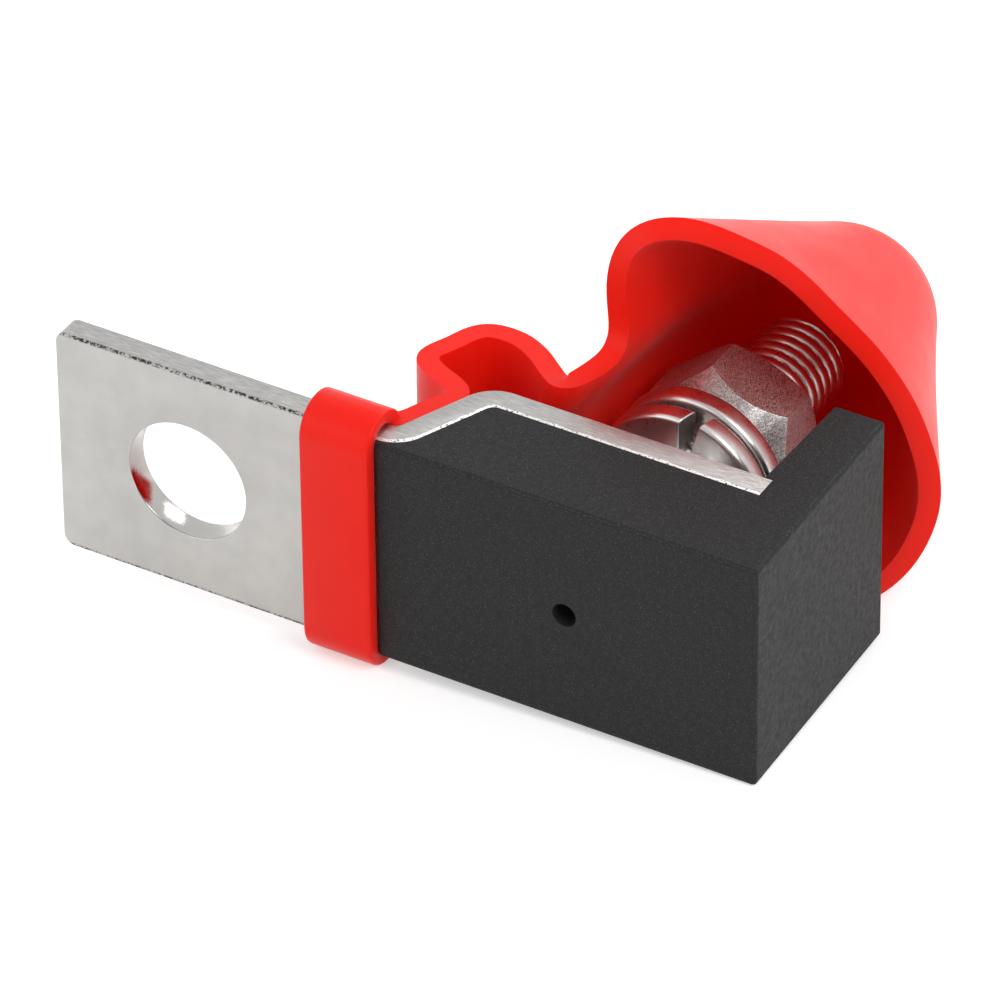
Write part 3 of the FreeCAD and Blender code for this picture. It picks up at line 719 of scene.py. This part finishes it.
def washerTree():
    # an open turn of rounded square wire
    tree, sizes = startTree("openTurn", {
        "middleRadius": 1.0, "rise": 1.0, "turns": 1.0, "wireWidth": 1.0, "wireHeight": 1.0,
        "wireCorner": 0.1, "steps": 8})
    spiral = addNode(tree, "GeometryNodeCurveSpiral", {
        "Resolution": sizes.outputs["steps"], "Rotations": sizes.outputs["turns"],
        "Start Radius": sizes.outputs["middleRadius"],
        "End Radius": sizes.outputs["middleRadius"], "Height": sizes.outputs["rise"]})
    upright = addNode(tree, "GeometryNodeSetCurveNormal", {"Curve": spiral.outputs[0]})
    upright.mode = "Z_UP"
    wire = addNode(tree, "GeometryNodeCurvePrimitiveQuadrilateral", {
        "Width": sizes.outputs["wireWidth"], "Height": sizes.outputs["wireHeight"]})
    rounded = addNode(tree, "GeometryNodeFilletCurve", mode="POLY")
    tree.links.new(wire.outputs[0], rounded.inputs["Curve"])
    tree.links.new(sizes.outputs["wireCorner"], rounded.inputs["Radius"])
    rounded.inputs["Count"].default_value = washer["cornerSteps"]
    swept = addNode(tree, "GeometryNodeCurveToMesh", {
        "Curve": upright.outputs[0], "Profile Curve": rounded.outputs[0], "Fill Caps": True})
    endTree(tree, swept.outputs[0], turnedSteel)
    return tree


def makeWasher(name, node, tree, height, place):
    wide = washer["outer"] - washer["inner"]
    turns = 1 - washer["slit"] / 360
    mesh = growMesh(name, tree, {
        "middleRadius": (washer["inner"] + wide / 2) * mm, "rise": washer["rise"] * mm,
        "turns": turns, "wireWidth": wide * mm, "wireHeight": washer["gauge"] * mm,
        "wireCorner": washer["corner"] * mm, "steps": washer["steps"]})
    low = min(vertex.co.z for vertex in mesh.vertices)
    for vertex in mesh.vertices:
        # the slit is cut at a slant
        lean = washer["slant"] * ((vertex.co.z - low) / mm - washer["gauge"] / 2)
        vertex.co = Matrix.Rotation(lean, 3, "Z") @ vertex.co
        vertex.co.z -= low
    weldMesh(mesh, washer["weld"])
    ring = linkMesh(name, mesh, turnedSteel, 45)
    addBevel(ring, washer["endEdge"], 2, washer["endAngle"])
    bakeModifiers(ring)
    uprightToStud(ring.data, height, math.radians(90 - place))
    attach(ring, "washers")
    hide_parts(node)


openTurn = washerTree()
makeWasher("lowerSplitWasher", "lower_split_washer", openTurn, washer["lowerHeight"],
           washer["lowerPlace"])
makeWasher("upperSplitWasher", "upper_split_washer", openTurn, washer["upperHeight"],
           washer["upperPlace"])
print("washers made")


# nut
nutEdge = {"soften": 0.10, "softenOver": 35, "sharpOver": 30, "turn": 30.0}  # mm, then degrees


def makeNut():
    mesh = copyNode("hex_nut", "hexNut")
    # the pictured nut stands a twelfth of a turn from the solid one
    axis = Matrix.Translation((stack["axisX"] * mm, 0, 0))
    turned = Matrix.Rotation(math.radians(nutEdge["turn"]), 4, "Y")
    mesh.transform(axis @ turned @ axis.inverted())
    nut = linkMesh("hexNut", mesh, tumbledSteel, nutEdge["sharpOver"])
    addBevel(nut, nutEdge["soften"], 2, nutEdge["softenOver"])
    bakeModifiers(nut)
    smoothShade(nut.data, nutEdge["sharpOver"])
    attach(nut, "nut")
    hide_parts("hex_nut")


makeNut()
print("nut made")


# boot: band, strap and cap in one soft sheet
boot = {
    "wall": 1.8,
    "bandStart": 11.4, "bandEnd": 17.57, "bandFront": -1.6, "bandBack": 4.1, "bandSide": 12.1,
    "bandCorner": 2.8, "bandInnerFront": -0.25, "bandInnerBack": 2.6, "bandInnerSide": 11.0,
    "bandInnerCorner": 1.4, "bandEdge": 0.25,
    "strapHalf": 10.2,
    "loop": ((24.7, 14.9), (22.6, 16.45), (20.2, 17.4), (17.5, 17.0), (16.05, 14.2), (15.25, 11.9),
             (16.4, 10.75), (18.9, 9.65), (19.95, 8.75), (19.55, 7.6), (18.67, 5.8), (17.9, 4.1),
             (17.1, 3.35), (15.8, 3.3)),  # middle of the strap, from the valley back to the band
    "valleyLevel": 13.9, "valleyLean": 0.44, "valleyMiddle": (0.42, 0.62),
    "strapSteps": 52, "settleSteps": 12,
    "mouthMiddle": (38.5, 22.746, 5.0), "mouthSlopeX": 0.476, "mouthSlopeZ": 0.15,
    "mouthReach": (13.75, 12.2, 12.6, 15.9, 19.5, 12.9, 15.2, 17.2, 18.3, 16.3, 18.6, 16.95),
    "crown": (35.6, 42.1, 1.5), "crownRadius": 8.2,
    "waistBulge": 2.1, "waistFacing": 215.0,
    "columns": 96, "strapFrom": 40, "strapTo": 64, "sideRows": 16, "domeRows": 11,
    "joinRows": 5, "joinSteps": 9, "joinColumns": 2, "joinRounds": 10,
    "edge": 0.22, "pivotY": 9.7,
}


def easedSpot(t, first, slopeFirst, second, slopeSecond):
    # a cubic from first to second with the given slopes, at share t
    return (first * (2 * t ** 3 - 3 * t ** 2 + 1) + slopeFirst * (t ** 3 - 2 * t ** 2 + t)
            + second * (3 * t ** 2 - 2 * t ** 3) + slopeSecond * (t ** 3 - t ** 2))


def reachAt(angle):
    # smooth reach of the mouth between the given directions
    reaches = boot["mouthReach"]
    count = len(reaches)
    place = (angle % 360) / 360 * count
    index = int(place)
    before, first, second, after = (reaches[(index + step) % count] for step in (-1, 0, 1, 2))
    return easedSpot(place - index, first, (second - before) / 2, second, (after - first) / 2)


def mouthAxes():
    normal = Vector((boot["mouthSlopeX"], -1, boot["mouthSlopeZ"])).normalized()
    along = Vector((1, boot["mouthSlopeX"], 0)).normalized()
    return Vector(boot["mouthMiddle"]), along, normal.cross(along)


def capPoint(angle, share, rise, inset):
    # share runs up the side from the mouth (0) to where it touches the round crown (1),
    # rise from there to the crown's top
    middle, along, upward = mouthAxes()
    turn = math.radians(angle)
    reach = reachAt(angle) - inset
    rim = middle + along * (reach * math.cos(turn)) + upward * (reach * math.sin(turn))
    crown = Vector(boot["crown"])
    axis = (crown - middle).normalized()
    side = (along - axis * along.dot(axis)).normalized()
    outward = side * math.cos(turn) + side.cross(axis) * math.sin(turn)
    radius = boot["crownRadius"] - inset
    out = (rim - crown).dot(outward)
    depth = (crown - rim).dot(axis)
    touch = math.acos(radius / math.hypot(out, depth)) - math.atan2(depth, out)
    level = touch + (math.pi / 2 - touch) * rise
    top = crown + outward * (radius * math.cos(level)) + axis * (radius * math.sin(level))
    swell = boot["waistBulge"] * math.sin(math.pi * share)
    swell *= max(0.0, math.cos(turn - math.radians(boot["waistFacing"])))
    return rim.lerp(top, share) + outward * swell


def smoothRoute(spots, count, fineSteps=24):
    # a smooth flat curve through the spots, cut into even steps
    ends = [spots[0] * 2 - spots[1]] + spots + [spots[-1] * 2 - spots[-2]]
    fine = []
    for index in range(1, len(ends) - 2):
        before, first, second, after = ends[index - 1:index + 3]
        reach = (second - first).length
        slopeFirst = (second - before).normalized() * reach
        slopeSecond = (after - first).normalized() * reach
        for step in range(fineSteps):
            fine.append(easedSpot(step / fineSteps, first, slopeFirst, second, slopeSecond))
    fine.append(spots[-1])
    reached = [0.0]
    for left, right in zip(fine, fine[1:]):
        reached.append(reached[-1] + (right - left).length)
    even = [fine[0]]
    index = 0
    for step in range(1, count):
        want = reached[-1] * step / count
        while reached[index + 1] < want:
            index += 1
        part = (want - reached[index]) / (reached[index + 1] - reached[index])
        even.append(fine[index].lerp(fine[index + 1], part))
    return even + [fine[-1]]


def strapRoute(rim):
    # from the mouth's edge down into the valley, over the loop and back to the band
    level = boot["valleyLevel"]
    fall = rim.y - level
    lean = boot["valleyLean"]
    leanShare, fallShare = boot["valleyMiddle"]
    flat = [Vector((rim.x, rim.y)),
            Vector((rim.x - lean * leanShare * fall, rim.y - fallShare * fall)),
            Vector((rim.x - lean * fall, level))]
    flat += [Vector(spot) for spot in boot["loop"]]
    return smoothRoute(flat, boot["strapSteps"])


def relax(weights, rounds):
    # evens out the named vertices; those on the sheet's edge only slide along that edge
    for _ in range(rounds):
        moved = {}
        for vertex, weight in weights.items():
            edges = vertex.link_edges
            if vertex.is_boundary:
                edges = [edge for edge in edges if edge.is_boundary]
            near = [edge.other_vert(vertex).co for edge in edges]
            middle = sum(near, Vector()) / len(near)
            moved[vertex] = vertex.co.lerp(middle, 0.5 * weight)
        for vertex, spot in moved.items():
            vertex.co = spot


def capRows(bm, inset):
    # rings of the cap from the mouth up to the crown, closed at the top
    columns = boot["columns"]
    levels = [(row / boot["sideRows"], 0) for row in range(boot["sideRows"] + 1)]
    levels += [(1, row / boot["domeRows"]) for row in range(1, boot["domeRows"])]
    rows = [[bm.verts.new(capPoint(360 * column / columns, share, rise, inset) * mm)
             for column in range(columns)] for share, rise in levels]
    apex = bm.verts.new(capPoint(0, 1, 1, inset) * mm)
    for lower, upper in zip(rows, rows[1:]):
        for column in range(columns):
            after = (column + 1) % columns
            bm.faces.new((lower[column], lower[after], upper[after], upper[column]))
    for column in range(columns):
        bm.faces.new((rows[-1][column], rows[-1][(column + 1) % columns], apex))
    return rows


def strapStrips(bm, mouth, inset):
    # the strap hangs on the mouth's edge between two columns
    first, last = boot["strapFrom"], boot["strapTo"]
    strips = []
    for column in range(first, last + 1):
        rim = capPoint(360 * column / boot["columns"], 0, 0, inset)
        across = boot["strapHalf"] * (1 - 2 * (column - first) / (last - first))
        strip = [mouth[column]]
        for step, spot in enumerate(strapRoute(rim)[1:], start=1):
            settle = min(1.0, step / boot["settleSteps"])
            settle = settle * settle * (3 - 2 * settle)
            height = rim.z + (across - rim.z) * settle
            strip.append(bm.verts.new(Vector((spot.x, spot.y, height)) * mm))
        strips.append(strip)
    for left, right in zip(strips, strips[1:]):
        for step in range(len(left) - 1):
            bm.faces.new((left[step], left[step + 1], right[step + 1], right[step]))
    return strips


def joinWeights(rows, strips):
    # full at the join, and nothing a few rows up the cap or a few steps down the strap
    first, last = boot["strapFrom"], boot["strapTo"]
    weights = {}
    for row in range(boot["joinRows"]):
        for column in range(first - boot["joinColumns"], last + boot["joinColumns"] + 1):
            beyond = max(0, first - column, column - last)
            weights[rows[row][column]] = ((1 - row / boot["joinRows"])
                                          * (1 - beyond / (boot["joinColumns"] + 1)))
    for strip in strips:
        for step in range(1, boot["joinSteps"]):
            weights[strip[step]] = 1 - step / boot["joinSteps"]
    return weights


def makeSheet():
    # the middle of the boot's wall; where strap and cap join, its corners become soft curves
    bm = bmesh.new()
    inset = boot["wall"] / 2
    rows = capRows(bm, inset)
    strips = strapStrips(bm, rows[0], inset)
    relax(joinWeights(rows, strips), boot["joinRounds"])
    bmesh.ops.recalc_face_normals(bm, faces=bm.faces)
    return plainMesh(bm, "bootSheet")


def roundedLoop(front, back, side, corner, steps=8):
    # a closed rounded rectangle in (Y, Z)
    high, low = side - corner, corner - side
    centres = ((back - corner, high), (front + corner, high), (front + corner, low),
               (back - corner, low))
    loop = []
    for quarter, (centreY, centreZ) in enumerate(centres):
        start = 90 * quarter
        for step in range(steps + 1):
            angle = math.radians(start + 90 * step / steps)
            loop.append((centreY + corner * math.cos(angle), centreZ + corner * math.sin(angle)))
    return loop


def makeBand():
    bm = bmesh.new()
    outer = roundedLoop(boot["bandFront"], boot["bandBack"], boot["bandSide"], boot["bandCorner"])
    inner = roundedLoop(boot["bandInnerFront"], boot["bandInnerBack"], boot["bandInnerSide"],
                        boot["bandInnerCorner"])
    places = [(outer, boot["bandStart"]), (outer, boot["bandEnd"]),
              (inner, boot["bandEnd"]), (inner, boot["bandStart"])]
    rings = [[bm.verts.new((x * mm, y * mm, z * mm)) for y, z in loop] for loop, x in places]
    for index in range(4):
        ring, nextRing = rings[index], rings[(index + 1) % 4]
        for step in range(len(ring)):
            after = (step + 1) % len(ring)
            bm.faces.new((ring[step], ring[after], nextRing[after], nextRing[step]))
    bmesh.ops.recalc_face_normals(bm, faces=bm.faces)
    band = linkMesh("bootBandDraft", plainMesh(bm, "bootBand"), vinylMaterial)
    addBevel(band, boot["bandEdge"], 3, 60)
    return bakeModifiers(band)


def makeBoot():
    sheet = linkMesh("boot", makeSheet(), vinylMaterial)
    thick = sheet.modifiers.new("wall", "SOLIDIFY")
    thick.thickness = boot["wall"] * mm
    thick.offset = 0
    thick.use_even_offset = True
    thick.use_quality_normals = True
    addBevel(sheet, boot["edge"], 2, 62)
    finer = sheet.modifiers.new("finer", "SUBSURF")
    finer.levels = 1
    finer.render_levels = 1
    bakeModifiers(sheet)
    band = makeBand()
    union = sheet.modifiers.new("union", "BOOLEAN")
    union.operation = "UNION"
    union.solver = "EXACT"
    union.object = band
    bakeModifiers(sheet)
    bpy.data.objects.remove(band)
    smoothShade(sheet.data, 50)
    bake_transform(sheet)
    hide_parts("boot_band", "boot_cap")


makeBoot()
print("boot made")
